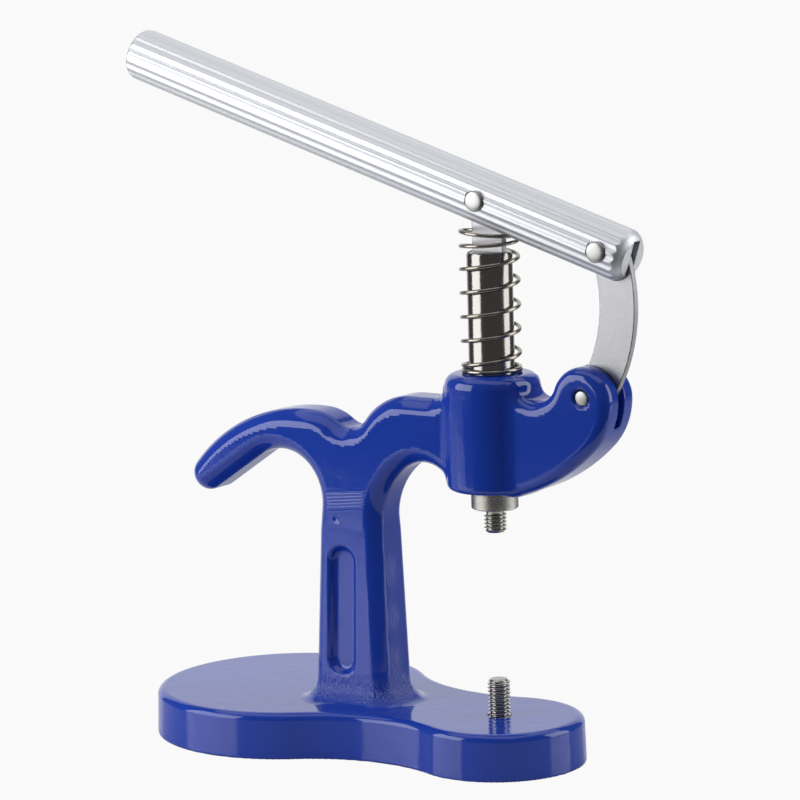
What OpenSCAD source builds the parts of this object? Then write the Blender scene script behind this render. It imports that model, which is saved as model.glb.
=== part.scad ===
// Watch case press: a cast frame with a guided ram, a hand lever, a curved link and a return spring.
// The origin is on the underside of the base, straight below the ram. +Z is up, the handle points
// to -X and the fork that carries the link is on the +X side.

/* [Base] */
// Thickness of the base plate
base_h = 12.5; // [10:0.5:16]
// Radius of the large lobe under the column
heel_r = 37.5; // [34:0.5:40]
// Radius of the small lobe under the ram
toe_r = 22.8; // [20:0.2:25]
// Distance between the centres of the two lobes
lobe_span = 71; // [68:1:74]
// Half the width of the neck between the lobes
neck_half_w = 19.44; // [18:0.02:22]
// Radius of the two hollow curves of the neck
neck_r = 41; // [36:1:45]
// Turn of the base under the arm, about the lower stud, which moves the large lobe towards +Y
base_turn = 4.4; // [0:0.1:6]

/* [Cast arm] */
// Thickness of the column, horn and fork
arm_t = 15; // [13:0.5:18]
// Radius of the boss that guides the ram
boss_r = 12.4; // [11.5:0.1:14]
// Height of the underside of the boss
boss_bottom = 73.3; // [72:0.1:75]
// Length of the boss
boss_h = 30.8; // [29:0.1:32]
// Width of the long groove in each side of the column
groove_w = 7.8; // [5:0.1:9]
// Depth of that groove
groove_depth = 2; // [1:0.1:3]
// Width of the slot in the fork
fork_slot = 2.4; // [2.2:0.1:3]

/* [Ram] */
// Diameter of the ram
ram_d = 12; // [10:0.1:13]
// Height of the top face of the ram with the handle up
ram_top = 135.8; // [134:0.1:137]
// Radial clearance of every running fit
running_gap = 0.05; // [0.02:0.01:0.1]
// Diameter of the knurled collar
collar_d = 12.4; // [12.3:0.1:14]
// Height of the knurled collar
collar_h = 5.2; // [4:0.1:6]
// Thickness of the tongue and of the link
plate_t = 2; // [1.6:0.1:2.2]
// Width of the tongue
tongue_w = 9.5; // [8:0.1:10]
// Depth of the slot that holds the tongue in the ram
tongue_seat = 7; // [5:0.5:10]

/* [Die studs] */
// Outside diameter of the two M6 studs
stud_d = 6; // [6:1:6]
// Diameter at the middle of the thread, where a screwed-in end meets its hole
thread_mid_d = 5.35; // [5:0.05:5.5]
// How far the lower stud stands above the base
lower_stud_h = 9.9; // [8:0.1:12]
// Depth of the threads in the base and in the ram
stud_seat = 9; // [6:0.5:11]
// Length of the upper stud below its collar
upper_stud_h = 6.3; // [5:0.1:8]
// Thread run-out left bare above the base
run_out = 0.4; // [0.2:0.1:0.6]
// Length of the thinner neck next to the collar
relief_h = 1.6; // [1:0.1:2]
// Diameter of that neck
relief_d = 4.7; // [4.5:0.1:5]

/* [Lever and link] */
// Diameter of the handle bar
lever_d = 14; // [13:0.1:15]
// Bar length from the ram pin to the handle end
lever_tail = 117.5; // [100:0.5:130]
// Bar length from the ram pin to the other end
lever_nose = 45.2; // [44.5:0.1:47]
// Distance between the ram pin and the link pin
pin_span = 38; // [37:0.5:39]
// Distance between the link pin and the fork pin
link_span = 38; // [37:0.5:39]
// Rise of the handle in degrees
lever_rise = 17.5; // [15:0.5:19]
// Width of the slot in the bar
lever_slot = 3; // [2.6:0.1:3.4]
// How far the slot reaches above the bar's axis
slot_rise = 4; // [3.8:0.1:4.5]
// Width of the curved link
link_w = 10.5; // [9:0.1:11]
// Radius of the link's curve
link_bend = 41; // [36:1:50]
// Extra length of the link's upper eye
eye_travel = 1.4; // [1.3:0.1:1.6]

/* [Pins] */
// Diameter of the three hinge pins
pin_d = 4; // [3.5:0.1:4.2]
// Diameter of the heads of the two lever pins
head_d = 5.6; // [5:0.1:6]
// Distance from the middle of the bar to a head's outer face
head_out = 7.9; // [7.5:0.1:8.2]
// Distance from the middle of the bar to the spot face under a head
spot_face = 6.4; // [6.2:0.1:6.6]

/* [Return spring] */
// Outside diameter of the spring
spring_d = 16; // [15.5:0.1:17]
// Diameter of the spring wire
wire_d = 1.05; // [0.8:0.05:1.4]
// Space between the spring and the bar
spring_gap = 0.3; // [0.2:0.1:0.5]

/* [Hidden] */
$fn = 96;
eps = 0.01;
boss_top = boss_bottom + boss_h;

// Hinge points in the X-Z plane, found from the fork pin upwards
fork_pin_at = [31.4, 100.3];
link_pin_x = pin_span * cos(lever_rise);
link_lean = asin((link_pin_x - fork_pin_at[0]) / link_span);
link_pin_at = [link_pin_x, fork_pin_at[1] + link_span * cos(link_lean)];
ram_pin_at = [0, link_pin_at[1] + pin_span * sin(lever_rise)];

function on_circle(c, r, a) = [c[0] + r * cos(a), c[1] + r * sin(a)];
function arc(c, r, a0, a1, n = 12) = [for (i = [0:n]) on_circle(c, r, a0 + (a1 - a0) * i / n)];
function heading(a, b) = atan2(b[1] - a[1], b[0] - a[0]);

// Centres and radii of the arcs that bound the cast arm, seen from the side
foot_r = 5;
foot_back = [-60, base_h + foot_r];
foot_front = [-26.6, base_h + foot_r];
hook = [-65.5, 66.4];
hook_r = 13;
tip = [-91, 71.2];
tip_r = 4.7;
back = [-57.5, 42.7];
crown = [-55.5, 76.2];
crown_r = 14.6;
back_r = crown_r + norm(crown - back);
valley = [-43.1, 93.2];
valley_r = norm(valley - crown) - crown_r;
hump = [-23.5, 78.7];
hump_r = norm(hump - valley) - valley_r;
shoulder_r = 4;
saddle = [16.3, 104.3];
saddle_r = 6.5;
lobe = [30.6, 99.4];
lobe_r = norm(lobe - saddle) - saddle_r;
chin_r = 18.3;
chin = [lobe[0] + lobe_r - chin_r, lobe[1]];
jaw_r = 53;
jaw_turn = -45;
jaw = on_circle(chin, jaw_r - chin_r, jaw_turn + 180);
arch = [-19.6, 69.2];
arch_r = 10;
throat = [-13.4, 61.8];
throat_r = arch_r + norm(arch - throat);

// Side outline of the column, horn, head and fork, going round from the heel of the column
function arm_outline() = concat(
    [[foot_back[0], base_h / 2]],
    arc(foot_back, foot_r, -90, 0, 8),
    arc(hook, hook_r, 4, 123, 20),
    arc(tip, tip_r, -57, heading(back, tip) - 360, 16),
    arc(back, back_r, heading(back, tip), heading(back, crown), 16),
    arc(crown, crown_r, heading(back, crown), heading(crown, valley), 8),
    arc(valley, valley_r, heading(crown, valley) + 180, heading(valley, hump) + 360, 12),
    arc(hump, hump_r, heading(valley, hump) + 180, 90, 10),
    arc([-boss_r - shoulder_r, hump[1] + hump_r + shoulder_r], shoulder_r, -90, 0, 8),
    [[0, hump[1] + hump_r + shoulder_r]],
    arc(saddle, saddle_r, 195, heading(saddle, lobe) + 360, 12),
    arc(lobe, lobe_r, heading(saddle, lobe) + 180, 0, 14),
    arc(chin, chin_r, 0, jaw_turn, 10),
    arc(jaw, jaw_r, jaw_turn, -76, 10),
    [[0, boss_bottom + 3]],
    arc(arch, arch_r, 32, heading(throat, arch), 14),
    arc(throat, throat_r, heading(throat, arch), 180, 10),
    arc(foot_front, foot_r, 180, 270, 8),
    [[foot_front[0], base_h / 2]]);

// A side outline given in X and Z, made t thick about the middle plane
module slab(t) {
    rotate([90, 0, 0]) translate([0, 0, -t / 2]) linear_extrude(t) children();
}

// A round bar across the press at an X-Z point
module cross_bar(at, d, length) {
    translate([at[0], 0, at[1]]) rotate([90, 0, 0]) cylinder(d = d, h = length, center = true);
}

module base_outline() {
    toe = [0, 0];
    heel = [-lobe_span, 0];
    neck_y = neck_half_w + neck_r;
    blend_gap = 0.1;
    neck_at = [-sqrt((toe_r + neck_r + blend_gap) ^ 2 - neck_y ^ 2), neck_y];
    toe_end = on_circle(toe, toe_r, heading(toe, neck_at));
    heel_end = on_circle(heel, heel_r, heading(heel, neck_at));
    translate(toe) circle(r = toe_r);
    translate(heel) circle(r = heel_r);
    difference() {
        polygon([toe_end, heel_end, [heel_end[0], -heel_end[1]], [toe_end[0], -toe_end[1]]]);
        for (side = [-1, 1]) translate([neck_at[0], side * neck_at[1]]) circle(r = neck_r);
    }
}

module column_groove() {
    ends = [[-44.8, 24.5], [-44.2, 50.8]];
    for (side = [-1, 1]) translate([0, side * (arm_t / 2 - groove_depth / 2 + eps), 0]) {
        for (e = ends) cross_bar(e, groove_w, groove_depth + eps);
        slab(groove_depth + eps) polygon([
            ends[0] - [groove_w / 2, 0], ends[0] + [groove_w / 2, 0],
            ends[1] + [groove_w / 2, 0], ends[1] - [groove_w / 2, 0]]);
    }
}

// The casting: figure-of-eight base, column, rear horn, ram boss and fork in one piece
module frame_casting() {
    color("#1f3594") difference() {
        union() {
            rotate([0, 0, -base_turn]) linear_extrude(base_h) base_outline();
            slab(arm_t) polygon(arm_outline());
            translate([0, 0, boss_bottom]) cylinder(r = boss_r, h = boss_h);
        }
        translate([0, 0, boss_bottom - 1]) cylinder(d = ram_d + 2 * running_gap, h = boss_h + 2);
        translate([0, 0, base_h - stud_seat]) cylinder(d = thread_mid_d, h = stud_seat + 1);
        slot_floor = 92;
        slot_back = 24.5;
        translate([slot_back, -fork_slot / 2, slot_floor]) cube([20, fork_slot, 20]);
        cross_bar(fork_pin_at, pin_d, arm_t + 2);
        column_groove();
    }
}

// M6 stud that the lower dies screw onto
module lower_die_stud() {
    chamfer = 0.6;
    screwed_in = stud_seat + run_out;
    stud_l = stud_seat + lower_stud_h;
    color("#b9bbbd") translate([0, 0, base_h - stud_seat]) {
        cylinder(d = thread_mid_d, h = screwed_in);
        translate([0, 0, screwed_in]) cylinder(d = stud_d, h = stud_l - screwed_in - chamfer);
        translate([0, 0, stud_l - chamfer]) cylinder(d1 = stud_d, d2 = stud_d - 2 * chamfer, h = chamfer);
    }
}

// Round ram that slides in the boss
module ram() {
    chamfer = 0.8;
    color("#8d8a86") difference() {
        union() {
            translate([0, 0, boss_bottom]) cylinder(d = ram_d, h = ram_top - boss_bottom - chamfer);
            translate([0, 0, ram_top - chamfer]) cylinder(d1 = ram_d, d2 = ram_d - 2 * chamfer, h = chamfer);
        }
        translate([0, 0, boss_bottom - 1]) cylinder(d = thread_mid_d, h = stud_seat + 1);
        translate([-ram_d, -plate_t / 2, ram_top - tongue_seat]) cube([2 * ram_d, plate_t, tongue_seat + 1]);
    }
}

// Flat tongue set into the ram's top, which carries the ram pin
module ram_tongue() {
    end_r = tongue_w / 2;
    end_at = ram_pin_at - [0, 1.3];
    color("#a7a7a8") slab(plate_t) difference() {
        union() {
            translate([-end_r, ram_top - tongue_seat]) square([tongue_w, end_at[1] - ram_top + tongue_seat]);
            translate(end_at) circle(r = end_r);
        }
        translate(ram_pin_at) circle(r = pin_d / 2 + running_gap);
    }
}

// Knurled collar and M6 stud in one turned piece, screwed into the ram from below
module upper_die_stud() {
    chamfer = 0.5;
    collar_bottom = boss_bottom - collar_h;
    color("#9b9994") {
        translate([0, 0, boss_bottom]) cylinder(d = thread_mid_d, h = stud_seat - 1);
        translate([0, 0, collar_bottom]) cylinder(d = collar_d, h = collar_h);
        translate([0, 0, collar_bottom - relief_h]) cylinder(d = relief_d, h = relief_h);
        translate([0, 0, collar_bottom - upper_stud_h + chamfer])
            cylinder(d = stud_d, h = upper_stud_h - relief_h - chamfer);
        translate([0, 0, collar_bottom - upper_stud_h])
            cylinder(d1 = stud_d - 2 * chamfer, d2 = stud_d, h = chamfer);
    }
}

// Space that the coil spring fills between the boss and the bar
module return_spring() {
    reach = spring_d / 2;
    bar_under = ram_pin_at[1] - reach * tan(lever_rise) - lever_d / 2 / cos(lever_rise);
    color("#c9c9c6") difference() {
        translate([0, 0, boss_top]) cylinder(d = spring_d, h = bar_under - spring_gap - boss_top);
        translate([0, 0, boss_top - 1]) cylinder(d = spring_d - 2 * wire_d, h = bar_under - boss_top + 2);
    }
}

// Fluted round bar with a slot for the tongue and the link
module hand_lever() {
    chamfer = 1.2;
    slot_l = lever_nose + 8;
    bar_l = lever_tail + lever_nose;
    color("#dcdde0") translate([0, 0, ram_pin_at[1]]) rotate([0, lever_rise, 0]) difference() {
        translate([-lever_tail, 0, 0]) rotate([0, 90, 0]) {
            cylinder(d1 = lever_d - 2 * chamfer, d2 = lever_d, h = chamfer);
            translate([0, 0, chamfer]) cylinder(d = lever_d, h = bar_l - 2 * chamfer);
            translate([0, 0, bar_l - chamfer]) cylinder(d1 = lever_d, d2 = lever_d - 2 * chamfer, h = chamfer);
        }
        translate([lever_nose - slot_l, -lever_slot / 2, -lever_d])
            cube([slot_l + 1, lever_slot, lever_d + slot_rise]);
        for (x = [0, pin_span]) {
            cross_bar([x, 0], pin_d, lever_d + 2);
            for (side = [-1, 1]) translate([0, side * (spot_face + 2), 0]) cross_bar([x, 0], head_d + 0.1, 4);
        }
    }
}

// Curved link between the lever and the fork, with a long upper eye
module link_plate() {
    lean = heading(fork_pin_at, link_pin_at);
    half = asin(link_span / 2 / link_bend);
    bend_at = on_circle(fork_pin_at, link_bend, lean + 90 - half);
    from = heading(bend_at, fork_pin_at);
    to = from + 2 * half;
    end_back = 2.6;
    eye_r = pin_d / 2 + 0.15;
    color("#a7a7a8") slab(plate_t) difference() {
        union() {
            polygon(concat(
                arc(bend_at, link_bend + link_w / 2, from, to - end_back, 24),
                arc(bend_at, link_bend - link_w / 2, to - end_back, from, 24)));
            translate(fork_pin_at) circle(d = link_w);
            translate(on_circle(bend_at, link_bend, to - end_back)) circle(d = link_w);
        }
        translate(fork_pin_at) circle(r = pin_d / 2 + running_gap);
        for (x = [0, eye_travel]) translate(link_pin_at + [x, 0]) circle(r = eye_r);
        translate(link_pin_at - [0, eye_r]) square([eye_travel, 2 * eye_r]);
    }
}

// Hinge pin with a low domed head at each end
module headed_pin(at) {
    edge = 0.35;
    color("#8f9092") translate([at[0], 0, at[1]]) rotate([90, 0, 0]) {
        cylinder(d = pin_d, h = 2 * spot_face, center = true);
        for (side = [0, 1]) mirror([0, 0, side]) {
            translate([0, 0, spot_face]) cylinder(d = head_d, h = head_out - spot_face - edge);
            translate([0, 0, head_out - edge]) cylinder(d1 = head_d, d2 = head_d - 2 * edge, h = edge);
        }
    }
}

module ram_pin() {
    headed_pin(ram_pin_at);
}

module link_pin() {
    headed_pin(link_pin_at);
}

// Plain pin driven into the fork, a little below the surface at both ends
module fork_pin() {
    color("#b5b6b8") cross_bar(fork_pin_at, pin_d, arm_t - 0.8);
}

frame_casting();
lower_die_stud();
ram();
ram_tongue();
upper_die_stud();
return_spring();
hand_lever();
link_plate();
ram_pin();
link_pin();
fork_pin();
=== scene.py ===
import math

import bmesh
import bpy
import numpy as np
from mathutils import Matrix, Vector


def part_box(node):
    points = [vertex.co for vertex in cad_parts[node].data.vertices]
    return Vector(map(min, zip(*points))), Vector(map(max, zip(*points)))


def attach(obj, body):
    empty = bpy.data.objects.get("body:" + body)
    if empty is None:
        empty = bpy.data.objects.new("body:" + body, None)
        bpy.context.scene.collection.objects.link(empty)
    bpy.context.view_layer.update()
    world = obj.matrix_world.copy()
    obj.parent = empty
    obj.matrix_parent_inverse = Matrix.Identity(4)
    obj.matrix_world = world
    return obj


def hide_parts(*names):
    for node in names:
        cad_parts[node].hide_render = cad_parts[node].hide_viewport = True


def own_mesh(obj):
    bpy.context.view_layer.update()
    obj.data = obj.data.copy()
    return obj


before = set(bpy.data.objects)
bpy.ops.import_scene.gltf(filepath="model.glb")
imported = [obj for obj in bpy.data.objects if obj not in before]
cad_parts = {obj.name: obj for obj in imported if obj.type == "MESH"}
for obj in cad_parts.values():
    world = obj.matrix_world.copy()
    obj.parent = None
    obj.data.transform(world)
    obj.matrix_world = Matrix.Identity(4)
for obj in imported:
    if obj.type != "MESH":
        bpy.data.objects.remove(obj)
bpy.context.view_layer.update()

# Everything below is worked out in millimetres and turned into metres where a mesh is made.
MM = 0.001


def box_mm(name):
    """A part's lowest and highest corners, in millimetres."""
    low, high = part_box(name)
    return np.array(low) / MM, np.array(high) / MM


def middle(name):
    low, high = box_mm(name)
    return (low + high) / 2


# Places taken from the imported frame.
RAM_PIN = middle("ram_pin")
LINK_PIN = middle("link_pin")
FORK_PIN = middle("fork_pin")
BASE_H = 12.5
BOSS_BOTTOM = box_mm("ram")[0][2]
RAM_TOP = box_mm("ram")[1][2]
BOSS_TOP, SPRING_TOP = box_mm("return_spring")[0][2], box_mm("return_spring")[1][2]
LEVER_RISE = math.atan2(RAM_PIN[2] - LINK_PIN[2], LINK_PIN[0] - RAM_PIN[0])

# ---------------------------------------------------------------- camera
CAMERA_AT = Vector((0.554220, -0.853168, 0.262656))
CAMERA_TURN = math.radians(34.365)
CAMERA_RISE = math.radians(9.233)
CAMERA_ROLL = math.radians(-1.476)
SENSOR = 36.0
LENS = 4.94955 * SENSOR


def add_camera():
    back = Vector((
        math.sin(CAMERA_TURN) * math.cos(CAMERA_RISE),
        -math.cos(CAMERA_TURN) * math.cos(CAMERA_RISE),
        math.sin(CAMERA_RISE),
    ))
    level = Vector((math.cos(CAMERA_TURN), math.sin(CAMERA_TURN), 0))
    upright = back.cross(level)
    right = level * math.cos(CAMERA_ROLL) + upright * math.sin(CAMERA_ROLL)
    up = upright * math.cos(CAMERA_ROLL) - level * math.sin(CAMERA_ROLL)
    data = bpy.data.cameras.new("camera")
    data.sensor_width = SENSOR
    data.lens = LENS
    data.clip_start = 0.05
    data.clip_end = 50
    camera = bpy.data.objects.new("camera", data)
    bpy.context.collection.objects.link(camera)
    camera.matrix_world = Matrix((
        (right.x, up.x, back.x, CAMERA_AT.x),
        (right.y, up.y, back.y, CAMERA_AT.y),
        (right.z, up.z, back.z, CAMERA_AT.z),
        (0, 0, 0, 1),
    ))
    bpy.context.scene.camera = camera


# ---------------------------------------------------------------- materials
def linear(colour):
    """An sRGB hex colour as linear RGBA."""
    parts = [int(colour[i:i + 2], 16) / 255 for i in (1, 3, 5)]
    return [c / 12.92 if c <= 0.04045 else ((c + 0.055) / 1.055) ** 2.4 for c in parts] + [1.0]


def add_node(tree, kind, settings=None, links=None):
    """Adds a node, sets its properties or sockets, and links other nodes' outputs to its sockets."""
    made = tree.nodes.new(kind)
    for key, value in (settings or {}).items():
        if isinstance(key, str) and hasattr(made, key):
            setattr(made, key, value)
        else:
            made.inputs[key].default_value = value
    for key, source in (links or {}).items():
        tree.links.new(source, made.inputs[key])
    return made


def start_material(name, settings):
    """A material with one Principled shader: the material, its tree, the shader and the place socket."""
    material = bpy.data.materials.new(name)
    material.use_nodes = True
    tree = material.node_tree
    tree.nodes.clear()
    shader = add_node(tree, "ShaderNodeBsdfPrincipled", settings)
    add_node(tree, "ShaderNodeOutputMaterial", links={"Surface": shader.outputs["BSDF"]})
    place = add_node(tree, "ShaderNodeTexCoord").outputs["Object"]
    return material, tree, shader, place


def per_metre(size_mm):
    """Noise scale that gives a pattern of about this size."""
    return 1 / (size_mm * MM)


def baked_enamel():
    # Blue baked enamel on a sand casting: a wet gloss that rolls gently over the casting's waves. Where
    # nobody dressed the casting, round the foot and inside the column, the sand grain shows through in
    # streaks. A few file strokes cross the column's near side.
    material, tree, shader, place = start_material("blue_baked_enamel", {
        "Base Color": linear("#1338A0"), "Roughness": 0.09, "IOR": 1.5,
    })
    peel = add_node(tree, "ShaderNodeTexNoise", {"Scale": per_metre(5.0), "Detail": 2}, {"Vector": place})
    waves = add_node(tree, "ShaderNodeBump", {"Strength": 1.0, "Distance": 0.05 * MM},
                     {"Height": peel.outputs["Fac"]})
    upright = add_node(tree, "ShaderNodeMapping", {"Scale": (1, 1, 0.4)}, {"Vector": place})
    grain = add_node(tree, "ShaderNodeTexNoise", {"Scale": per_metre(0.8), "Detail": 3, "Roughness": 0.65},
                     {"Vector": upright.outputs[0]})
    sandy = add_node(tree, "ShaderNodeAttribute", {"attribute_name": "sand"})
    pits = add_node(tree, "ShaderNodeMath", {"operation": "MULTIPLY"},
                    {0: grain.outputs["Fac"], 1: sandy.outputs["Fac"]})
    sand = add_node(tree, "ShaderNodeBump", {"Strength": 1.0, "Distance": 0.55 * MM},
                    {"Height": pits.outputs[0], "Normal": waves.outputs["Normal"]})
    # The strokes are 0.9 mm apart: a band repeats every 2 pi / (20 x scale).
    slanted = add_node(tree, "ShaderNodeMapping", {"Rotation": (0, 0.1, 0)}, {"Vector": place})
    strokes = add_node(tree, "ShaderNodeTexWave", {
        "bands_direction": "Z", "Scale": 2 * math.pi / (20 * 0.9 * MM), "Distortion": 5, "Detail": 2,
        "Detail Scale": 0.5,
    }, {"Vector": slanted.outputs[0]})
    filed = add_node(tree, "ShaderNodeAttribute", {"attribute_name": "filed"})
    depth = add_node(tree, "ShaderNodeMath", {"operation": "MULTIPLY"},
                     {0: strokes.outputs["Fac"], 1: filed.outputs["Fac"]})
    filing = add_node(tree, "ShaderNodeBump", {"Strength": 1.0, "Distance": 0.05 * MM},
                      {"Height": depth.outputs[0], "Normal": sand.outputs["Normal"]})
    tree.links.new(filing.outputs["Normal"], shader.inputs["Normal"])
    return material


def drawn_aluminium():
    # Fluted aluminium bar as extruded and lightly tumbled: bright, with fine die lines along its length.
    material, tree, shader, place = start_material("extruded_aluminium", {
        "Base Color": linear("#D2D4D9"), "Metallic": 1.0, "Roughness": 0.52,
    })
    along = add_node(tree, "ShaderNodeMapping", {"Rotation": (0, -LEVER_RISE, 0)}, {"Vector": place})
    stretched = add_node(tree, "ShaderNodeMapping", {"Scale": (0.02, 1, 1)}, {"Vector": along.outputs[0]})
    lines = add_node(tree, "ShaderNodeTexNoise", {"Scale": per_metre(0.35), "Detail": 2},
                     {"Vector": stretched.outputs[0]})
    bump = add_node(tree, "ShaderNodeBump", {"Strength": 1.0, "Distance": 0.006 * MM},
                    {"Height": lines.outputs["Fac"]})
    sheen = add_node(tree, "ShaderNodeMapRange", {"To Min": 0.46, "To Max": 0.58},
                     {"Value": lines.outputs["Fac"]})
    tree.links.new(bump.outputs["Normal"], shader.inputs["Normal"])
    tree.links.new(sheen.outputs[0], shader.inputs["Roughness"])
    return material


def metal(name, colour, roughness, grain_mm, depth_mm, spread=0.06):
    """Bare or plated metal with a grain of one size: the grain moves both the height and the gloss."""
    material, tree, shader, place = start_material(name, {
        "Base Color": linear(colour), "Metallic": 1.0, "Roughness": roughness,
    })
    grain = add_node(tree, "ShaderNodeTexNoise", {"Scale": per_metre(grain_mm), "Detail": 3},
                     {"Vector": place})
    bump = add_node(tree, "ShaderNodeBump", {"Strength": 1.0, "Distance": depth_mm * MM},
                    {"Height": grain.outputs["Fac"]})
    sheen = add_node(tree, "ShaderNodeMapRange",
                     {"To Min": max(0.02, roughness - spread), "To Max": roughness + spread},
                     {"Value": grain.outputs["Fac"]})
    tree.links.new(bump.outputs["Normal"], shader.inputs["Normal"])
    tree.links.new(sheen.outputs[0], shader.inputs["Roughness"])
    return material


# ---------------------------------------------------------------- meshes
def quad_mesh(name, points, quads):
    mesh = bpy.data.meshes.new(name)
    mesh.vertices.add(len(points))
    mesh.vertices.foreach_set("co", (points * MM).astype(np.float32).ravel())
    mesh.loops.add(quads.size)
    mesh.loops.foreach_set("vertex_index", quads.astype(np.int32).ravel())
    mesh.polygons.add(len(quads))
    mesh.polygons.foreach_set("loop_start", np.arange(0, quads.size, 4, dtype=np.int32))
    mesh.update(calc_edges=True)
    mesh.validate()
    return mesh


def ring_mesh(name, rings, looped=False):
    """Skins a row of rings of points, with flat caps unless the row is looped."""
    count, around = rings.shape[:2]
    step = np.arange(around)
    faces = []
    for i in range(count if looped else count - 1):
        a = i * around
        b = (i + 1) % count * around
        after = (step + 1) % around
        faces += np.stack([a + step, a + after, b + after, b + step], 1).tolist()
    if not looped:
        faces.append((step[::-1]).tolist())
        faces.append((step + (count - 1) * around).tolist())
    mesh = bpy.data.meshes.new(name)
    mesh.from_pydata((rings.reshape(-1, 3) * MM).tolist(), [], faces)
    mesh.update()
    return mesh


def plate_mesh(name, outline, holes, thick):
    """A flat plate from an X-Z outline with round or long holes, standing across Y."""
    mesh = bpy.data.meshes.new(name)
    shape = bmesh.new()
    edges = []
    for loop in [outline, *holes]:
        corners = [shape.verts.new((x * MM, -thick / 2 * MM, z * MM)) for x, z in loop]
        edges += [shape.edges.new((corners[i - 1], corners[i])) for i in range(len(corners))]
    bmesh.ops.triangle_fill(shape, use_beauty=True, use_dissolve=False, edges=edges)
    bmesh.ops.dissolve_limit(shape, angle_limit=0.01, verts=shape.verts[:], edges=shape.edges[:],
                             delimit={"NORMAL"})
    pushed = bmesh.ops.extrude_face_region(shape, geom=shape.faces[:])
    moved = [v for v in pushed["geom"] if isinstance(v, bmesh.types.BMVert)]
    bmesh.ops.translate(shape, vec=(0, thick * MM, 0), verts=moved)
    bmesh.ops.recalc_face_normals(shape, faces=shape.faces[:])
    shape.to_mesh(mesh)
    shape.free()
    return mesh


def add_piece(mesh, body, material, stands_for, sharp=None):
    """Puts a finished mesh on its body, with its material and smooth shading, and hides the CAD node it
    stands for.
    """
    made = bpy.data.objects.new(mesh.name, mesh)
    bpy.context.collection.objects.link(made)
    mesh.materials.append(material)
    mesh.polygons.foreach_set("use_smooth", [True] * len(mesh.polygons))
    if sharp is not None:
        mesh.set_sharp_from_angle(angle=math.radians(sharp))
    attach(made, body)
    if stands_for:
        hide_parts(stands_for)
    return made


def keep_modified(piece):
    """Keeps a piece's modified shape as its mesh, under the same name."""
    name = piece.data.name
    done = bpy.data.meshes.new_from_object(piece.evaluated_get(bpy.context.evaluated_depsgraph_get()))
    piece.modifiers.clear()
    piece.data.name = name + "_before"
    piece.data = done
    done.name = name


def cut(piece, cutters):
    """Subtracts meshes from a piece and keeps the result as its mesh."""
    for mesh in cutters:
        tool = bpy.data.objects.new("cutter", mesh)
        bpy.context.collection.objects.link(tool)
        step = piece.modifiers.new("cut", "BOOLEAN")
        step.operation = "DIFFERENCE"
        step.solver = "EXACT"
        step.object = tool
        keep_modified(piece)
        bpy.data.objects.remove(tool)
    return piece


def turned(profile, around=96, axis_at=(0, 0)):
    """Rings of a turned piece from (radius, height) pairs, standing on Z."""
    turn = np.linspace(0, 2 * math.pi, around, endpoint=False)
    return np.array([
        np.stack([axis_at[0] + r * np.cos(turn), axis_at[1] + r * np.sin(turn), np.full(around, z)], 1)
        for r, z in profile
    ])


def box_mesh(low, high):
    corners = np.array([[x, y, z] for x in (low[0], high[0]) for y in (low[1], high[1])
                        for z in (low[2], high[2])])
    faces = [(0, 1, 3, 2), (4, 6, 7, 5), (0, 4, 5, 1), (2, 3, 7, 6), (0, 2, 6, 4), (1, 5, 7, 3)]
    mesh = bpy.data.meshes.new("box")
    mesh.from_pydata((corners * MM).tolist(), [], faces)
    return mesh


def cross_rings(at, sizes, around=64):
    """Rings of a turned piece that lies across the press, from (radius, Y) pairs, about an X-Z point."""
    turn = np.linspace(0, 2 * math.pi, around, endpoint=False)
    return np.array([
        np.stack([at[0] + r * np.cos(turn), np.full(around, y), at[2] + r * np.sin(turn)], 1)
        for r, y in sizes
    ])[:, ::-1]


# ---------------------------------------------------------------- the casting's shape
HEEL_AT, HEEL_R = -71.0, 37.5
TOE_R = 22.8
NECK_R = 41.0
BASE_TURN = math.radians(4.4)
BOSS_R = 12.4
FLANK = 7.5
FOOT_FILLET = 5.5
GROOVE_ENDS = ((-44.8, 24.5), (-44.2, 50.8))
GROOVE_R = 3.9
GROOVE_DEPTH = 2.0
SLOT_HALF = 1.2
SLOT_FLOOR = 92.0
SLOT_BACK = 24.5
RAM_BORE_R = 6.05
FORK_PIN_R = 2.0
DENT_AT, DENT_R = (-45.7, 62.4), 1.15


def heading(a, b):
    return math.degrees(math.atan2(b[1] - a[1], b[0] - a[0]))


def gap(a, b):
    return math.hypot(b[0] - a[0], b[1] - a[1])


def on_circle(centre, radius, degrees):
    turn = math.radians(degrees)
    return (centre[0] + radius * math.cos(turn), centre[1] + radius * math.sin(turn))


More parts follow.
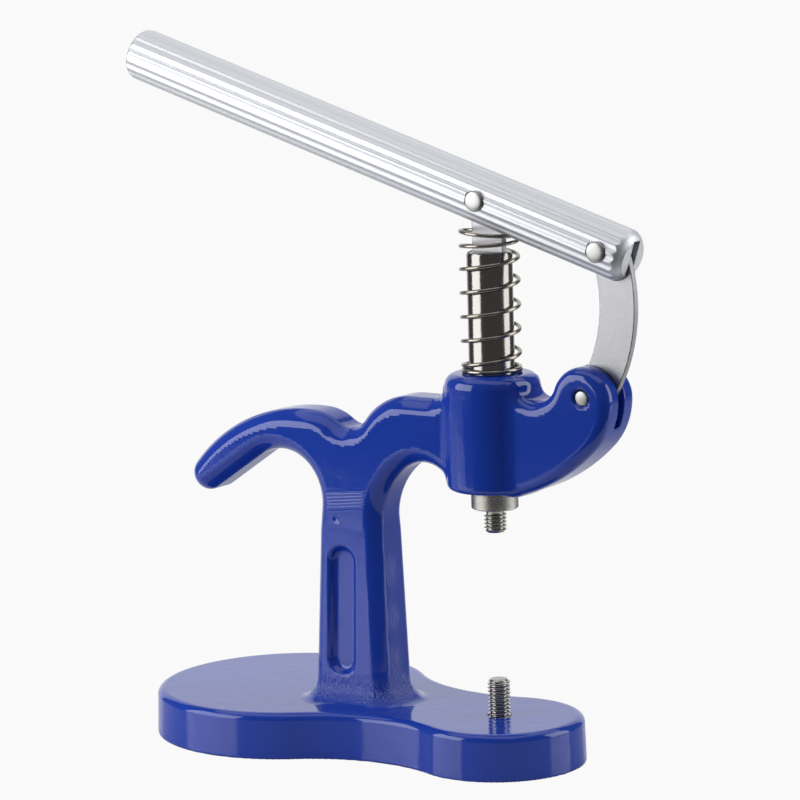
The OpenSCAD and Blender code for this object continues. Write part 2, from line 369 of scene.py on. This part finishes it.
def arm_bends():
    """The arm's side outline as (centre, radius, start, end) bends, clockwise from the heel of the column.

    A bend that turns clockwise is full, and one that turns the other way is hollow."""
    hook, hook_r = (-65.5, 66.4), 13.0
    back, crown, crown_r = (-57.5, 42.7), (-55.5, 76.2), 14.6
    back_r = crown_r + gap(back, crown)
    tip, tip_r = (-90.6, 70.86), 4.7
    valley = (-43.1, 93.2)
    valley_r = gap(valley, crown) - crown_r
    hump = (-23.5, 78.7)
    hump_r = gap(hump, valley) - valley_r
    shoulder_r = 4.0
    shoulder = (-BOSS_R - shoulder_r, hump[1] + hump_r + shoulder_r)
    saddle, saddle_r = (16.3, 104.3), 6.5
    lobe = (30.6, 99.4)
    lobe_r = gap(lobe, saddle) - saddle_r
    chin_r = 18.3
    chin = (lobe[0] + lobe_r - chin_r, lobe[1])
    jaw_r = 53.0
    jaw = on_circle(chin, jaw_r - chin_r, 135)
    arch, arch_r = (-19.6, 69.2), 10.0
    throat = (-13.4, 61.8)
    throat_r = arch_r + gap(arch, throat)
    return [
        ((-55.385, 6.5), 0, 0, 0),
        (hook, hook_r, -2.8, 122.6),
        (tip, tip_r, -57.4, heading(back, tip) - 360),
        (back, back_r, heading(back, tip), heading(back, crown)),
        (crown, crown_r, heading(back, crown), heading(crown, valley)),
        (valley, valley_r, heading(crown, valley) + 180, heading(valley, hump) + 360),
        (hump, hump_r, heading(valley, hump) + 180, 90),
        (shoulder, shoulder_r, -90, 0),
        ((0.0, shoulder[1]), 0, 0, 0),
        (saddle, saddle_r, 195, heading(saddle, lobe) + 360),
        (lobe, lobe_r, heading(saddle, lobe) + 180, 0),
        (chin, chin_r, 0, -45),
        (jaw, jaw_r, -45, -76),
        ((0.0, BOSS_BOTTOM + 3), 0, 0, 0),
        (arch, arch_r, 32, heading(throat, arch)),
        (throat, throat_r, heading(throat, arch), 181.9),
        ((-31.217, 6.5), 0, 0, 0),
    ]


def base_bends():
    """One side of the base's outline, from the toe round to the heel, as bends in X and Y."""
    to_toe, to_heel = TOE_R + NECK_R, HEEL_R + NECK_R
    neck_x = (HEEL_AT ** 2 + to_toe ** 2 - to_heel ** 2) / (2 * HEEL_AT)
    neck = (neck_x, math.sqrt(to_toe ** 2 - neck_x ** 2))
    return [
        ((0.0, 0.0), TOE_R, -90, heading((0, 0), neck)),
        (neck, NECK_R, heading((0, 0), neck) + 180, heading((HEEL_AT, 0), neck) + 180),
        ((HEEL_AT, 0.0), HEEL_R, heading((HEEL_AT, 0), neck), 270),
    ]


def outline_distance(bends, x, z):
    """Signed distance to an outline made of bends joined by straights, negative inside."""
    nearest = np.full(np.broadcast_shapes(np.shape(x), np.shape(z)), 1e6)
    signed = nearest.copy()

    def take(distance, value):
        closer = distance < nearest - 1e-9
        level = np.abs(distance - nearest) <= 1e-9
        nearest[closer] = distance[closer]
        signed[closer] = value[closer]
        signed[level] = np.maximum(signed, value)[level]

    for centre, radius, start, end in bends:
        if radius == 0:
            continue
        dx = x - centre[0]
        dz = z - centre[1]
        rho = np.hypot(dx, dz)
        turn = np.degrees(np.arctan2(dz, dx)) - (start + end) / 2
        turn = (turn + 180) % 360 - 180
        off = np.where(np.abs(turn) <= abs(end - start) / 2, np.abs(rho - radius), 1e6)
        side = 1.0 if end < start else -1.0
        take(off, side * (rho - radius))
    for i, (centre, radius, start, end) in enumerate(bends):
        after = bends[(i + 1) % len(bends)]
        a = on_circle(centre, radius, end)
        b = on_circle(after[0], after[1], after[2])
        length = gap(a, b)
        if length < 1e-3:
            continue
        ux, uz = (b[0] - a[0]) / length, (b[1] - a[1]) / length
        along = np.clip((x - a[0]) * ux + (z - a[1]) * uz, 0, length)
        px = x - a[0] - along * ux
        pz = z - a[1] - along * uz
        take(np.hypot(px, pz), np.hypot(px, pz) * np.sign(pz * ux - px * uz))
    return signed


def base_outline_distance(x, y):
    """Signed distance to the figure of eight, from one side's bends, which turn the other way round."""
    x, y = (x * math.cos(BASE_TURN) - y * math.sin(BASE_TURN),
            np.abs(x * math.sin(BASE_TURN) + y * math.cos(BASE_TURN)))
    nearest = np.full(np.broadcast_shapes(np.shape(x), np.shape(y)), 1e6)
    signed = nearest.copy()
    for centre, radius, start, end in base_bends():
        dx = x - centre[0]
        dy = y - centre[1]
        rho = np.hypot(dx, dy)
        turn = (np.degrees(np.arctan2(dy, dx)) - (start + end) / 2 + 180) % 360 - 180
        off = np.where(np.abs(turn) <= abs(end - start) / 2, np.abs(rho - radius), 1e6)
        side = -1.0 if radius == NECK_R else 1.0
        closer = off < nearest
        nearest[closer] = off[closer]
        signed[closer] = (side * (rho - radius))[closer]
    return signed


def smooth_step(value, low, high):
    t = np.clip((value - low) / (high - low), 0, 1)
    return t * t * (3 - 2 * t)


def rounded(a, b, radius, power=2.0):
    """Distance to where two distances are both negative, with the edge between them rounded.

    A power of 2 gives a true round, and a lower one turns faster at its two ends."""
    qa = a + radius
    qb = b + radius
    out = np.maximum(qa, 0) ** power + np.maximum(qb, 0) ** power
    return np.minimum(np.maximum(qa, qb), 0) + out ** (1 / power) - radius


def filleted(a, b, radius):
    """Distance to two solids together, with a round fillet between them."""
    u = np.maximum(radius - a, 0)
    v = np.maximum(radius - b, 0)
    return np.maximum(radius, np.minimum(a, b)) - np.hypot(u, v)


def without(solid, hole, radius):
    """Distance to a solid with a hole taken out and the rim rounded."""
    return rounded(solid, -hole, radius)


def capsule(x, z, ends, radius):
    (ax, az), (bx, bz) = ends
    length = math.hypot(bx - ax, bz - az)
    ux, uz = (bx - ax) / length, (bz - az) / length
    along = np.clip((x - ax) * ux + (z - az) * uz, 0, length)
    return np.hypot(x - ax - along * ux, z - az - along * uz) - radius


ARM = arm_bends()


def casting_distance(x, y, z):
    """Signed distance to the whole casting, in millimetres."""
    draft = 0.35 * (1 - np.clip(z / BASE_H, 0, 1))
    edge = 0.6 + 1.4 * smooth_step(z, 3, 8)
    base = rounded(base_outline_distance(x, y) + 0.35 - draft, np.abs(z - BASE_H / 2) - BASE_H / 2, edge)

    arm = outline_distance(ARM, x, z)
    flank = FLANK + 0.7 * np.clip((60 - z) / (60 - BASE_H), 0, 1)
    head = smooth_step(x, -14, 0)
    edge = (4.2 - 0.6 * smooth_step(-z, -66, -58)) * (1 - head) + 3.0 * head
    slab = rounded(arm, np.abs(y) - flank, edge, 2 - 0.5 * (1 - head))

    rho = np.hypot(x, y)
    top = smooth_step(z, 85, 95)
    boss_mid, boss_half = (BOSS_TOP + BOSS_BOTTOM) / 2, (BOSS_TOP - BOSS_BOTTOM) / 2
    boss = rounded(rho - BOSS_R, np.abs(z - boss_mid) - boss_half, 1.8 + 1.2 * top)

    solid = filleted(slab, boss, 1.6)
    solid = filleted(solid, base, FOOT_FILLET)

    floor = flank - GROOVE_DEPTH - np.abs(y)
    groove = rounded(capsule(x, z, GROOVE_ENDS, GROOVE_R), floor, 1.8)
    solid = without(solid, groove, 1.1)
    dent = np.sqrt((x - DENT_AT[0]) ** 2 + (y + flank + 0.75) ** 2 + (z - DENT_AT[1]) ** 2) - DENT_R
    solid = without(solid, dent, 0.3)
    solid = without(solid, rounded(rho - RAM_BORE_R, np.abs(z - boss_mid) - boss_half - 3, 0.1), 0.5)
    solid = without(solid, rounded(rho - 3.0, BASE_H - 9 - z, 0.2), 0.4)
    slot = rounded(np.abs(y) - SLOT_HALF, np.maximum(SLOT_FLOOR - z, SLOT_BACK - x), 0.3)
    solid = without(solid, slot, 0.4)
    pin = np.hypot(x - FORK_PIN[0], z - FORK_PIN[2]) - FORK_PIN_R
    mouth = rounded(pin - 0.3, flank - 0.6 - np.abs(y), 0.1)
    solid = without(solid, np.minimum(pin, mouth), 0.35)
    return solid


CELL_EDGES = [
    (a, b) for a in np.ndindex(2, 2, 2) for b in np.ndindex(2, 2, 2)
    if sum(b) - sum(a) == 1 and all(q >= p for p, q in zip(a, b))
]


def skin(field, low, step):
    """Quads round the surface where a field on a grid changes sign, one point per cell it crosses."""
    full = field < 0
    cells = np.zeros(np.array(field.shape) - 1, np.uint8)
    for dx, dy, dz in np.ndindex(2, 2, 2):
        cells += full[dx:full.shape[0] - 1 + dx, dy:full.shape[1] - 1 + dy, dz:full.shape[2] - 1 + dz]
    crossed = (cells > 0) & (cells < 8)
    where = np.argwhere(crossed)
    total = np.zeros((len(where), 3))
    count = np.zeros(len(where))
    for a, b in CELL_EDGES:
        fa = field[tuple((where + a).T)]
        fb = field[tuple((where + b).T)]
        hit = (fa < 0) != (fb < 0)
        t = np.where(hit, fa / np.where(hit, fa - fb, 1), 0)
        total += np.where(hit[:, None], np.array(a) + t[:, None] * (np.array(b) - np.array(a)), 0)
        count += hit
    points = low + step * (where + total / count[:, None])
    number = np.full(cells.shape, -1, np.int64)
    number[crossed] = np.arange(len(where))
    quads = []
    for axis in range(3):
        first = np.take(full, range(full.shape[axis] - 1), axis)
        second = np.take(full, range(1, full.shape[axis]), axis)
        edge = np.argwhere(first != second)
        leaves = first[tuple(edge.T)]
        one, two = [np.eye(3, dtype=int)[(axis + k) % 3] for k in (1, 2)]
        ring = np.stack([number[tuple((edge - s).T)] for s in (0 * one, one, one + two, two)], 1)
        ring[~leaves] = ring[~leaves][:, ::-1]
        quads.append(ring)
    return points, np.concatenate(quads)


def slope(distance, points, reach=0.03):
    """Gradient of a distance at some points."""
    parts = []
    for axis in range(3):
        push = np.zeros(3)
        push[axis] = reach
        ahead = distance(*(points + push).T)
        behind = distance(*(points - push).T)
        parts.append((ahead - behind) / (2 * reach))
    return np.stack(parts, 1)


def settle(points, quads, distance, rounds, step):
    """Evens the points out along the surface and brings them onto it."""
    ends = np.concatenate([quads[:, [i, (i + 1) % 4]] for i in range(4)])
    near = np.bincount(ends[:, 0], minlength=len(points))
    for _ in range(rounds):
        grade = slope(distance, points)
        size = np.linalg.norm(grade, axis=1, keepdims=True)
        normal = grade / np.maximum(size, 1e-6)
        mean = np.stack([np.bincount(ends[:, 0], points[ends[:, 1], k], len(points)) for k in range(3)], 1)
        drift = mean / near[:, None] - points
        drift -= (drift * normal).sum(1, keepdims=True) * normal
        off = distance(*points.T) / np.maximum(size[:, 0], 0.3)
        points = points + 0.5 * drift - np.clip(off, -step, step)[:, None] * normal
    for _ in range(2):
        grade = slope(distance, points)
        size = np.linalg.norm(grade, axis=1)
        off = distance(*points.T) / np.maximum(size, 0.3)
        points = points - np.clip(off, -step, step)[:, None] * grade / np.maximum(size, 1e-6)[:, None]
    return points


CASTING_CELL = 0.7


def casting(material):
    """The painted casting: base, column, horn, boss and fork in one smooth skin."""
    low = np.array([-110.5, -35.0, -2.5 * CASTING_CELL])
    high = np.array([42.0, 45.0, 111.0])
    counts = ((high - low) / CASTING_CELL).astype(int) + 1
    axes = [low[k] + CASTING_CELL * np.arange(counts[k]) for k in range(3)]
    field = casting_distance(axes[0][:, None, None], axes[1][None, :, None], axes[2][None, None, :])
    points, quads = skin(field, low, CASTING_CELL)
    points = settle(points, quads, casting_distance, 4, CASTING_CELL / 2)
    mesh = quad_mesh("painted_casting", points, quads)
    normals = slope(casting_distance, points)
    normals /= np.maximum(np.linalg.norm(normals, axis=1, keepdims=True), 1e-6)
    x, y, z = points.T
    foot = smooth_step(-z, -22, -17) * smooth_step(z, 12.6, 14.5)
    foot *= smooth_step(-np.abs(x + 43), -22, -16) * smooth_step(-np.abs(y), -16, -11)
    inner = 0.0
    for height, spread in ((49, 4.5), (36, 3.5), (24, 4)):
        inner = inner + np.exp(-((z - height) / spread) ** 2 - ((y + 1) / 2.2) ** 2)
    inner = inner * smooth_step(x, -37, -34) * smooth_step(-z, -60, -55)
    sand = mesh.attributes.new("sand", "FLOAT", "POINT")
    sand.data.foreach_set("value", np.clip(foot + 0.8 * inner, 0, 1).astype(np.float32))
    strokes = np.exp(-((z - 67.5 - 0.1 * (x + 45)) / 2.4) ** 4) * smooth_step(-y, 6.5, 7.4)
    strokes *= smooth_step(-np.abs(x + 45), -10, -6)
    filed = mesh.attributes.new("filed", "FLOAT", "POINT")
    filed.data.foreach_set("value", strokes.astype(np.float32))
    made = add_piece(mesh, "frame", material, "frame_casting")
    mesh.normals_split_custom_set_from_vertices(normals.tolist())
    return made


# ---------------------------------------------------------------- turned and threaded parts
PITCH = 1.0
THREAD_DEPTH = 0.61


def threaded(name, low, high, tip, rise=0.05):
    """An M6 stud from low to high with a chamfered tip at the height called tip, right-handed."""
    around = 72
    turn = np.linspace(0, 2 * math.pi, around, endpoint=False)
    heights = np.arange(low, high + rise / 2, rise)
    rings = []
    for z in heights:
        phase = (z / PITCH - turn / (2 * math.pi)) % 1
        crest = np.clip((np.abs(phase - 0.5) - 0.07) / 0.31, 0, 1)
        radius = 3.0 - THREAD_DEPTH * crest
        radius = np.minimum(radius, 2.25 + abs(z - tip))
        rings.append(np.stack([radius * np.cos(turn), radius * np.sin(turn), np.full(around, z)], 1))
    return ring_mesh(name, np.array(rings))


def lower_stud(material):
    low, high = box_mm("lower_die_stud")
    mesh = threaded("lower_threaded_stud", BASE_H - 4, high[2], high[2])
    return add_piece(mesh, "frame", material, "lower_die_stud", sharp=60)


COLLAR_R = 6.2
COLLAR_H = 5.2


def upper_stud(steel):
    """The knurled collar, the neck and the threaded stud under it."""
    low, _ = box_mm("upper_die_stud")
    collar_low = BOSS_BOTTOM - COLLAR_H
    around = 240
    turn = np.linspace(0, 2 * math.pi, around, endpoint=False)
    rings = []
    knurl_pitch = 2 * math.pi * COLLAR_R / 48
    shape = [(-0.05, 5.3), (0, 5.6), (0.12, 5.9)]
    heights = np.linspace(0.35, COLLAR_H - 0.35, 36)
    for z, r in shape:
        rings.append((z, np.full(around, r)))
    for z in heights:
        a = np.abs(((turn * COLLAR_R + z) / knurl_pitch) % 1 - 0.5) * 2
        b = np.abs(((turn * COLLAR_R - z) / knurl_pitch) % 1 - 0.5) * 2
        rings.append((z, COLLAR_R - 0.16 * np.maximum(1 - a, 1 - b) ** 2))
    for z, r in [(COLLAR_H - 0.1, 5.95), (COLLAR_H, 5.7)]:
        rings.append((z, np.full(around, r)))
    collar = np.array([
        np.stack([r * np.cos(turn), r * np.sin(turn), np.full(around, collar_low + z)], 1) for z, r in rings
    ])
    made = add_piece(ring_mesh("knurled_collar", collar), "ram", steel, "upper_die_stud",
                     sharp=50)
    neck = turned([(2.35, collar_low - 1.7), (2.35, collar_low - 0.3), (2.6, collar_low)])
    add_piece(ring_mesh("stud_neck", neck), "ram", steel, None, sharp=40)
    stud = threaded("upper_threaded_stud", low[2], collar_low - 1.4, low[2])
    add_piece(stud, "ram", steel, None, sharp=60)
    return made


def ram_rod(material):
    chamfer = 0.8
    profile = [(5.5, BOSS_BOTTOM), (6.0, BOSS_BOTTOM + 0.5), (6.0, RAM_TOP - chamfer),
               (5.75, RAM_TOP - 0.25), (6.0 - chamfer, RAM_TOP)]
    rod = add_piece(ring_mesh("plated_ram", turned(profile, 128)), "ram", material, "ram")
    slot = box_mesh((-4.8, -1.02, RAM_TOP - 7), (4.8, 1.02, RAM_TOP + 1))
    cut(rod, [slot])
    rod.data.set_sharp_from_angle(angle=math.radians(25))
    return rod


def arc_points(centre, radius, start, end, count):
    return [on_circle(centre, radius, start + (end - start) * i / count) for i in range(count + 1)]


def tongue(material):
    half = 4.75
    low = RAM_TOP - 7 + 0.05
    top = (0.0, RAM_PIN[2] - 1.3)
    outline = [(-half, low), (half, low)] + arc_points(top, half, 0, 180, 32)
    hole = arc_points((0.0, RAM_PIN[2]), 2.03, 0, 345, 23)
    plate = add_piece(plate_mesh("ram_tongue_plate", outline, [hole], 2.0), "ram", material,
                      "ram_tongue")
    soften(plate, 0.25)
    return plate


def soften(piece, width):
    """Breaks the sharp edges of a plate."""
    step = piece.modifiers.new("broken edges", "BEVEL")
    step.width = width * MM
    step.segments = 2
    step.limit_method = "ANGLE"
    step.angle_limit = math.radians(40)
    keep_modified(piece)
    piece.data.set_sharp_from_angle(angle=math.radians(20))


def link(material):
    """The curved link plate, with a long upper eye."""
    width, bend, end_back = 10.5, 41.0, 2.6
    fork = (FORK_PIN[0], FORK_PIN[2])
    pin = (LINK_PIN[0], LINK_PIN[2])
    span = gap(fork, pin)
    half = math.degrees(math.asin(span / 2 / bend))
    centre = on_circle(fork, bend, heading(fork, pin) + 90 - half)
    start = heading(centre, fork)
    end = start + 2 * half - end_back
    upper = on_circle(centre, bend, end)
    outline = (
        arc_points(centre, bend + width / 2, start, end, 40)
        + arc_points(upper, width / 2, end, end + 180, 24)[1:-1]
        + arc_points(centre, bend - width / 2, end, start, 40)
        + arc_points(fork, width / 2, start + 180, start + 360, 24)[1:-1]
    )
    eye = arc_points(fork, 2.05, 0, 345, 23)
    long_eye = arc_points((pin[0] + 1.4, pin[1]), 2.15, -90, 90, 12) + arc_points(pin, 2.15, 90, 270, 12)
    plate = add_piece(plate_mesh("curved_link_plate", outline, [eye, long_eye], 2.0), "link", material,
                      "link_plate")
    soften(plate, 0.3)
    return plate


def domed_pin(name, at, node, body, material):
    """A hinge pin with a low domed head at each end."""
    profile = []
    for side in (-1, 1):
        head = [(2.0, 6.3), (2.6, 6.42), (2.74, 6.6), (2.76, 6.95), (2.62, 7.16), (2.25, 7.28), (1.5, 7.35),
                (0.6, 7.38)]
        if side < 0:
            head = head[::-1]
        profile += [(r, side * y) for r, y in head]
    mesh = ring_mesh(name, cross_rings(at, profile))
    return add_piece(mesh, body, material, node, sharp=50)


def driven_pin(material):
    profile = [(1.5, -7.1), (1.9, -7.0), (2.0, -6.8), (2.0, 6.8), (1.9, 7.0), (1.5, 7.1)]
    mesh = ring_mesh("driven_fork_pin", cross_rings(FORK_PIN, profile))
    return add_piece(mesh, "frame", material, "fork_pin", sharp=50)


# ---------------------------------------------------------------- the lever
LEVER_R = 7.0
FLUTES = 18
FLUTE_DEPTH = 0.36
LEVER_TAIL = 117.5
LEVER_NOSE = 45.2


def lever_bar(material):
    """The fluted bar with its slot, pin holes and spot faces."""
    per_flute = 24
    around = FLUTES * per_flute
    turn = np.linspace(0, 2 * math.pi, around, endpoint=False)
    wave = (np.arange(around) % per_flute) / per_flute
    fluted = LEVER_R - FLUTE_DEPTH * np.sin(math.pi * wave) ** 1.6
    # Two fine lines that the die leaves along the near side.
    for line, deep in ((72.0, 0.12), (75.0, 0.06)):
        fluted -= deep * np.exp(-((np.degrees(turn) - line) / 0.7) ** 2)
    tail = [(0, 5.6), (0.25, 6.1), (0.6, 6.5), (1.0, 6.8), (1.5, 7.0)]
    nose = [(0, 4.9), (1.0, 6.1), (2.0, 6.8), (2.6, 7.0)]
    stations = []
    for side, end, shape in ((-1, -LEVER_TAIL, tail), (1, LEVER_NOSE, nose)):
        deep, cap = zip(*shape)
        steps = np.linspace(0, deep[-1], 15)
        row = [(end - side * d, r) for d, r in zip(steps, np.interp(steps, deep, cap))]
        stations += row if side < 0 else row[::-1]
    rings = []
    for along, cap in stations:
        radius = np.minimum(fluted, cap)
        rings.append(np.stack([np.full(around, along), -radius * np.sin(turn), radius * np.cos(turn)], 1))
    tilt = np.array(Matrix.Rotation(LEVER_RISE, 3, "Y"))
    rings = np.array(rings) @ tilt.T + RAM_PIN
    bar = add_piece(ring_mesh("fluted_lever", rings), "lever", material, "hand_lever")
    cutters = []
    slot = box_mesh((-8, -1.5, -12), (LEVER_NOSE + 1, 1.5, 4.8))
    place = Matrix.Translation(Vector(RAM_PIN * MM)) @ Matrix.Rotation(LEVER_RISE, 4, "Y")
    slot.transform(place)
    cutters.append(slot)
    for at in (RAM_PIN, LINK_PIN):
        cutters.append(ring_mesh("hole", cross_rings(at, [(2.0, -9), (2.0, 9)], 48)))
        for side in (-1, 1):
            reach = [(3.02, side * y) for y in ((6.4, 9.0) if side > 0 else (9.0, 6.4))]
            cutters.append(ring_mesh("spot", cross_rings(at, reach, 48)))
    cut(bar, cutters)
    bar.data.set_sharp_from_angle(angle=math.radians(28))
    return bar


# ---------------------------------------------------------------- the spring
WIRE_R = 0.525
SPRING_R = 8.0
# Height of the wire's middle at each half turn, from the closed turn on the boss to the last turn, which
# leans under the bar.
COIL_HEIGHTS = [
    0.5, 0.6, 1.2, 1.85, 5.2, 8.3, 11.4, 14.6, 17.7, 20.9, 24.1, 27.1, 30.2, 33.3, 34.5, 37.3, 35.5,
]
FIRST_TURN = -0.5
FIRST_ANGLE = math.radians(214.4)


def spring(material):
    """Round wire coiled right-handed, closed at the foot and leaning at the top."""
    last = FIRST_TURN + (len(COIL_HEIGHTS) - 1) / 2 - 0.12
    t = np.arange(FIRST_TURN, last, 1 / 64)
    known = FIRST_TURN + np.arange(len(COIL_HEIGHTS)) / 2
    soft = np.hanning(27)
    padded = np.interp(np.concatenate([t[0] - np.arange(13, 0, -1) / 64, t, t[-1] + np.arange(1, 14) / 64]),
                       known, COIL_HEIGHTS)
    z = BOSS_TOP + 0.03 + np.convolve(padded, soft / soft.sum(), "valid")
    angles = FIRST_ANGLE + 2 * math.pi * t
    radius = SPRING_R - WIRE_R
    path = np.stack([radius * np.cos(angles), radius * np.sin(angles), z], 1)
    ahead = np.gradient(path, axis=0)
    ahead /= np.linalg.norm(ahead, axis=1, keepdims=True)
    out = np.stack([np.cos(angles), np.sin(angles), np.zeros_like(z)], 1)
    up = np.cross(out, ahead)
    section = np.linspace(0, 2 * math.pi, 16, endpoint=False)
    rings = path[:, None] + WIRE_R * (np.cos(section)[None, :, None] * out[:, None]
                                      + np.sin(section)[None, :, None] * up[:, None])
    made = add_piece(ring_mesh("coil_spring", rings[:, ::-1]), "frame", material,
                     "return_spring", sharp=60)
    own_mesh(made)
    return made


# ---------------------------------------------------------------- studio
STUDIO_MIDDLE = Vector((-0.035, 0, 0))
# How white the camera sees the floor and the surround.
SHOWN_WHITE = 0.95


def round_the_press(degrees, distance, height):
    """A place round the press, by its turn from the camera, clockwise from below."""
    turn = CAMERA_TURN + math.radians(degrees)
    return STUDIO_MIDDLE + Vector((math.sin(turn) * distance, -math.cos(turn) * distance, height))


def add_panel(name, place, width, height, radiance, target=None):
    """An upright soft panel that faces the press, as bright as radiance times white."""
    data = bpy.data.lights.new(name, "AREA")
    data.shape = "RECTANGLE"
    data.size = width
    data.size_y = height
    data.energy = 4 * radiance * width * height
    light = bpy.data.objects.new(name, data)
    bpy.context.collection.objects.link(light)
    light.location = place
    target = target or Vector((STUDIO_MIDDLE.x, STUDIO_MIDDLE.y, place.z))
    light.rotation_euler = (target - place).to_track_quat("-Z", "Y").to_euler()
    light.visible_camera = False
    return light


def white_to_the_camera(tree, shown, lit, kind):
    """Joins what the camera sees of the surround to what lights the press and shows in its gloss."""
    seen = add_node(tree, "ShaderNodeLightPath").outputs["Is Camera Ray"]
    both = add_node(tree, "ShaderNodeMixShader", links={0: seen, 1: lit, 2: shown})
    add_node(tree, kind, links={"Surface": both.outputs[0]})


def add_sheet(name, front, back, half_wide, height, colour):
    """A staged sheet under the press, from front to back of its middle as the camera faces it."""
    facing = (round_the_press(0, 1, 0) - STUDIO_MIDDLE).normalized()
    across = Vector((-facing.y, facing.x, 0))
    corners = [STUDIO_MIDDLE + facing * f + across * w for f, w in (
        (front, -half_wide), (front, half_wide), (back, half_wide), (back, -half_wide))]
    mesh = bpy.data.meshes.new(name)
    mesh.from_pydata([(c.x, c.y, height) for c in corners], [], [(0, 1, 2, 3)])
    sheet = bpy.data.objects.new(name, mesh)
    bpy.context.collection.objects.link(sheet)
    material = bpy.data.materials.new("pale_" + name)
    material.use_nodes = True
    tree = material.node_tree
    tree.nodes.clear()
    shown = add_node(tree, "ShaderNodeEmission", {"Color": (1, 1, 1, 1), "Strength": SHOWN_WHITE})
    lit = add_node(tree, "ShaderNodeBsdfPrincipled", {
        "Base Color": linear(colour), "Roughness": 0.22, "IOR": 1.6,
    })
    white_to_the_camera(tree, shown.outputs[0], lit.outputs[0], "ShaderNodeOutputMaterial")
    mesh.materials.append(material)


def studio():
    """A pale glossy table on a darker ground, two softboxes, a pale sheet behind and one overhead."""
    add_sheet("table", 0.13, -1.4, 1.6, -0.0002, "#DADADA")
    add_sheet("ground", 4.0, -4.0, 4.0, -0.004, "#4A4A4A")

    world = bpy.data.worlds.new("surround")
    bpy.context.scene.world = world
    world.use_nodes = True
    tree = world.node_tree
    tree.nodes.clear()
    shown = add_node(tree, "ShaderNodeBackground", {"Color": (1, 1, 1, 1), "Strength": SHOWN_WHITE})
    lit = add_node(tree, "ShaderNodeBackground", {"Color": (1, 1, 1, 1), "Strength": 0.15})
    white_to_the_camera(tree, shown.outputs[0], lit.outputs[0], "ShaderNodeOutputWorld")

    add_panel("left_softbox", round_the_press(-75.0, 0.5, 0.24), 0.46, 0.42, 3.1)
    add_panel("right_softbox", round_the_press(84.5, 0.6, 0.28), 0.36, 0.5, 2.6)
    add_panel("back_sheet", round_the_press(180, 1.0, 0.45), 1.5, 0.9, 0.66)
    add_panel("overhead_sheet", STUDIO_MIDDLE + Vector((0, 0.1, 1.0)), 1.5, 1.5, 0.8,
              STUDIO_MIDDLE)
    bpy.context.scene.view_settings.view_transform = "Standard"


# ---------------------------------------------------------------- putting it together
add_camera()
studio()
ENAMEL = baked_enamel()
ALUMINIUM = drawn_aluminium()
# Plated ram: a dark bright nickel over ground steel, mottled like fine orange peel.
RAM_STEEL = metal("bright_nickel_on_ground_steel", "#82807D", 0.15, 0.5, 0.016)
# Nickel-plated turned steel: bright with a fine turning grain.
NICKEL = metal("nickel_on_turned_steel", "#A8A6A1", 0.22, 0.3, 0.01)
# Blanked plates tumbled in stone until dull: an even pale grey with soft edges.
TUMBLED = metal("stone_tumbled_steel", "#A2A2A5", 0.42, 0.6, 0.02)
# Hard-drawn spring wire with a clear plating: small, bright and dark bands.
WIRE = metal("plated_spring_wire", "#948E86", 0.2, 0.4, 0.004)
# Cold-headed pins, barrelled bright.
PIN_STEEL = metal("barrelled_pin_steel", "#A0A09F", 0.34, 0.4, 0.02)

casting(ENAMEL)
lower_stud(NICKEL)
ram_rod(RAM_STEEL)
tongue(TUMBLED)
upper_stud(NICKEL)
spring(WIRE)
lever_bar(ALUMINIUM)
link(TUMBLED)
domed_pin("ram_pin_domed", RAM_PIN, "ram_pin", "lever", PIN_STEEL)
domed_pin("link_pin_domed", LINK_PIN, "link_pin", "lever", PIN_STEEL)
driven_pin(PIN_STEEL)
